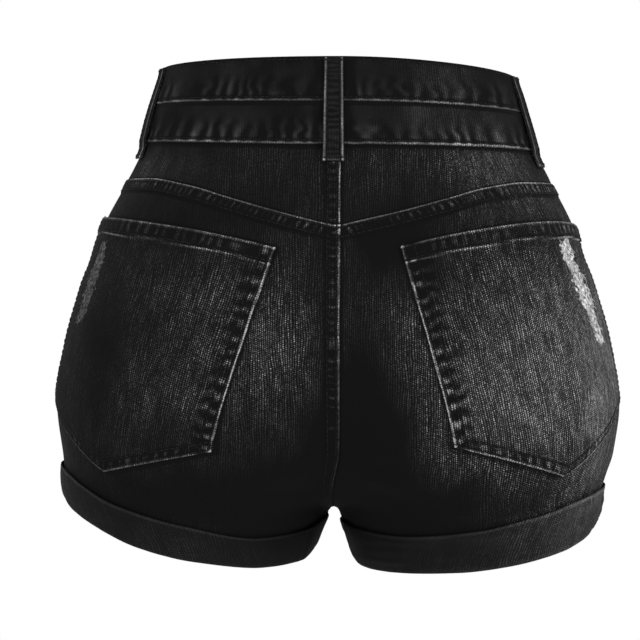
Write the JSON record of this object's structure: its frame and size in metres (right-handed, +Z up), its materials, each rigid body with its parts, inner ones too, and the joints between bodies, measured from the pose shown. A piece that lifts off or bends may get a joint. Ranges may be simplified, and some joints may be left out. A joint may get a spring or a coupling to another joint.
{
  "type": "denim shorts",
  "caption": "High-waisted black denim shorts held in their worn form: double waistband with belt loops, V-shaped back yoke, pointed patch pockets and turned-up cuffs.",
  "frame": {"origin": "middle of the waist opening, level with the seam between the two waistband strips at the back", "axes": "+Z up along the body, +Y the way the wearer faces, +X the wearer's right"},
  "size_m": [0.3628, 0.2376, 0.3215],
  "materials": {
    "denim_band": "faded black denim, folded double",
    "denim_body": "faded black denim, twill with slubs",
    "denim_cuff": "black denim, a little paler",
    "button_metal": "aged gunmetal"
  },
  "bodies": {
    "root": {"waistband_upper": "denim_band", "waistband_lower": "denim_band", "yoke_left": "denim_body", "yoke_right": "denim_body", "back_left": "denim_body", "back_right": "denim_body", "front_left": "denim_body", "front_right": "denim_body", "back_pocket_left": "denim_body", "back_pocket_right": "denim_body", "cuff_left": "denim_cuff", "cuff_right": "denim_cuff", "fly_flap": "denim_body", "belt_loop_back": "denim_band", "belt_loop_side_left": "denim_band", "belt_loop_side_right": "denim_band", "belt_loop_front_left": "denim_band", "belt_loop_front_right": "denim_band", "button_upper": "button_metal", "button_lower": "button_metal"}
  },
  "joints": []
}
